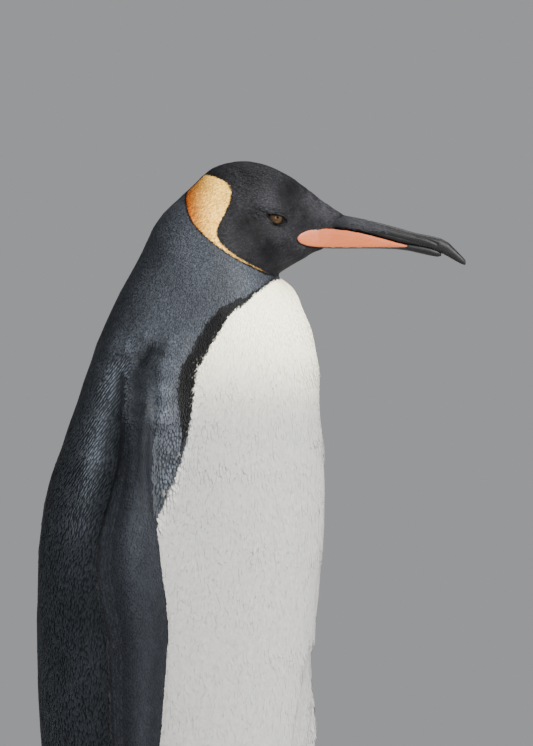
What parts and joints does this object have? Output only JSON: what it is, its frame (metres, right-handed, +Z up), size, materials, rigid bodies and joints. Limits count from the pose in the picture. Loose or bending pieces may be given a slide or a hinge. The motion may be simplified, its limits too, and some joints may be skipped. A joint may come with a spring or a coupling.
{
  "type": "king penguin",
  "caption": "Life-size king penguin standing upright and still, head level, flippers hanging at its sides.",
  "frame": {"origin": "on the floor under the middle of the bird's box, between bill tip and back", "axes": "+Z up, +X the way the bird faces, +Y towards its left flipper"},
  "size_m": [0.4133, 0.2694, 0.85],
  "materials": {
    "plumage_dark": "short black feathers with a soft sheen",
    "plumage_grey": "small slate feathers with silvery tips",
    "plumage_white": "dense white feathers, yellow at the upper chest",
    "foot_skin": "black pebbled skin",
    "bill_horn": "dark horn with fine lengthwise grooves",
    "bill_plate": "smooth orange plate with faint streaks",
    "claw_horn": "dark worn horn",
    "eye": "wet, with a brown iris and a black pupil"
  },
  "bodies": {
    "root": {"bill_lower": "bill_horn", "bill_upper": "bill_horn", "claw_left_inner": "claw_horn", "claw_left_middle": "claw_horn", "claw_left_outer": "claw_horn", "claw_right_inner": "claw_horn", "claw_right_middle": "claw_horn", "claw_right_outer": "claw_horn", "eye_left": "eye", "eye_right": "eye", "flipper_left": "plumage_grey", "flipper_right": "plumage_grey", "foot_left": "foot_skin", "foot_right": "foot_skin", "head": "plumage_dark", "leg_left": "plumage_grey", "leg_right": "plumage_grey", "neck": "plumage_grey", "plate_left": "bill_plate", "plate_right": "bill_plate", "tail": "plumage_grey", "trunk": "plumage_white"}
  },
  "joints": []
}
